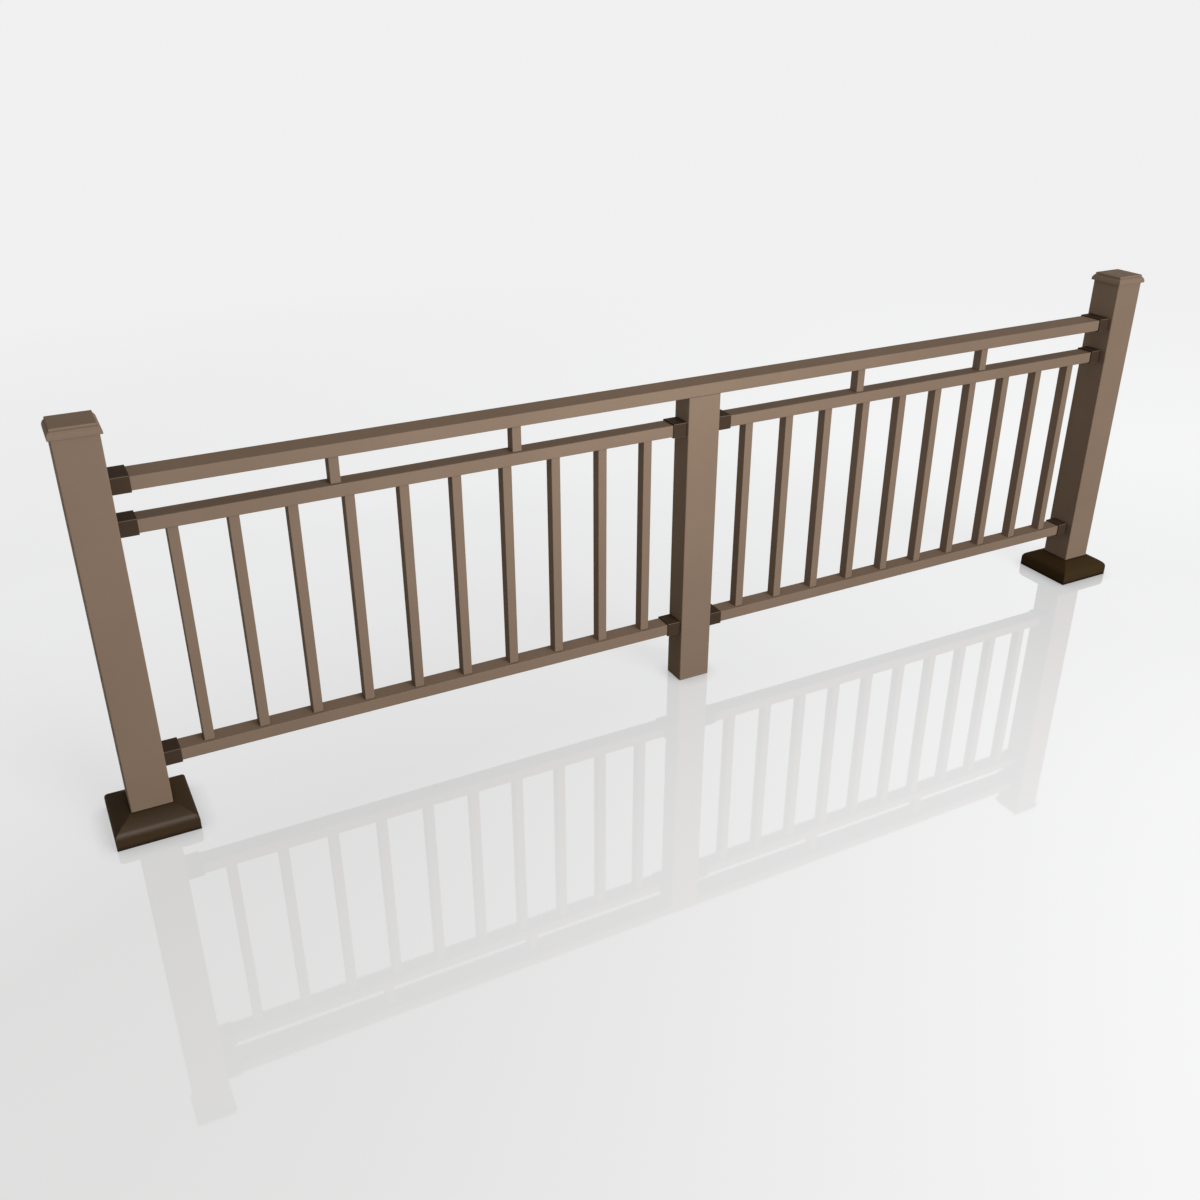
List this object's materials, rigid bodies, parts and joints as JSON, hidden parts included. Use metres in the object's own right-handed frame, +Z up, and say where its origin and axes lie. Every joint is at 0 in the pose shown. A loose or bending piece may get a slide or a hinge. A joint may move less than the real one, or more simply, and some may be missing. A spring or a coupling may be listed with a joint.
{
  "type": "deck railing section",
  "caption": "Straight deck railing section of painted square tube: capped end posts with base skirts, slim mid post, flat top rail, and slim balusters between rails held in bracket sockets.",
  "frame": {"origin": "centre of the mid post's foot face, on the deck, halfway between the end posts", "axes": "+X along the railing, +Y from front to back across it, +Z up"},
  "size_m": [3.342, 0.2, 1.048],
  "materials": {
    "brown_paint": "matte",
    "dark_bronze_paint": "satin"
  },
  "bodies": {
    "root": {"left_baluster_01": "brown_paint", "left_baluster_02": "brown_paint", "left_baluster_03": "brown_paint", "left_baluster_04": "brown_paint", "left_baluster_05": "brown_paint", "left_baluster_06": "brown_paint", "left_baluster_07": "brown_paint", "left_baluster_08": "brown_paint", "left_baluster_09": "brown_paint", "left_baluster_10": "brown_paint", "left_base_plate": "brown_paint", "left_bottom_inner_bracket": "dark_bronze_paint", "left_bottom_outer_bracket": "dark_bronze_paint", "left_bottom_rail": "brown_paint", "left_cap": "brown_paint", "left_end_post": "brown_paint", "left_second_inner_bracket": "dark_bronze_paint", "left_second_outer_bracket": "dark_bronze_paint", "left_second_rail": "brown_paint", "left_skirt": "dark_bronze_paint", "left_top_bracket": "dark_bronze_paint", "mid_post": "brown_paint", "right_baluster_01": "brown_paint", "right_baluster_02": "brown_paint", "right_baluster_03": "brown_paint", "right_baluster_04": "brown_paint", "right_baluster_05": "brown_paint", "right_baluster_06": "brown_paint", "right_baluster_07": "brown_paint", "right_baluster_08": "brown_paint", "right_baluster_09": "brown_paint", "right_baluster_10": "brown_paint", "right_base_plate": "brown_paint", "right_bottom_inner_bracket": "dark_bronze_paint", "right_bottom_outer_bracket": "dark_bronze_paint", "right_bottom_rail": "brown_paint", "right_cap": "brown_paint", "right_end_post": "brown_paint", "right_second_inner_bracket": "dark_bronze_paint", "right_second_outer_bracket": "dark_bronze_paint", "right_second_rail": "brown_paint", "right_skirt": "dark_bronze_paint", "right_top_bracket": "dark_bronze_paint", "spacers": "brown_paint", "top_rail": "brown_paint"}
  },
  "joints": []
}
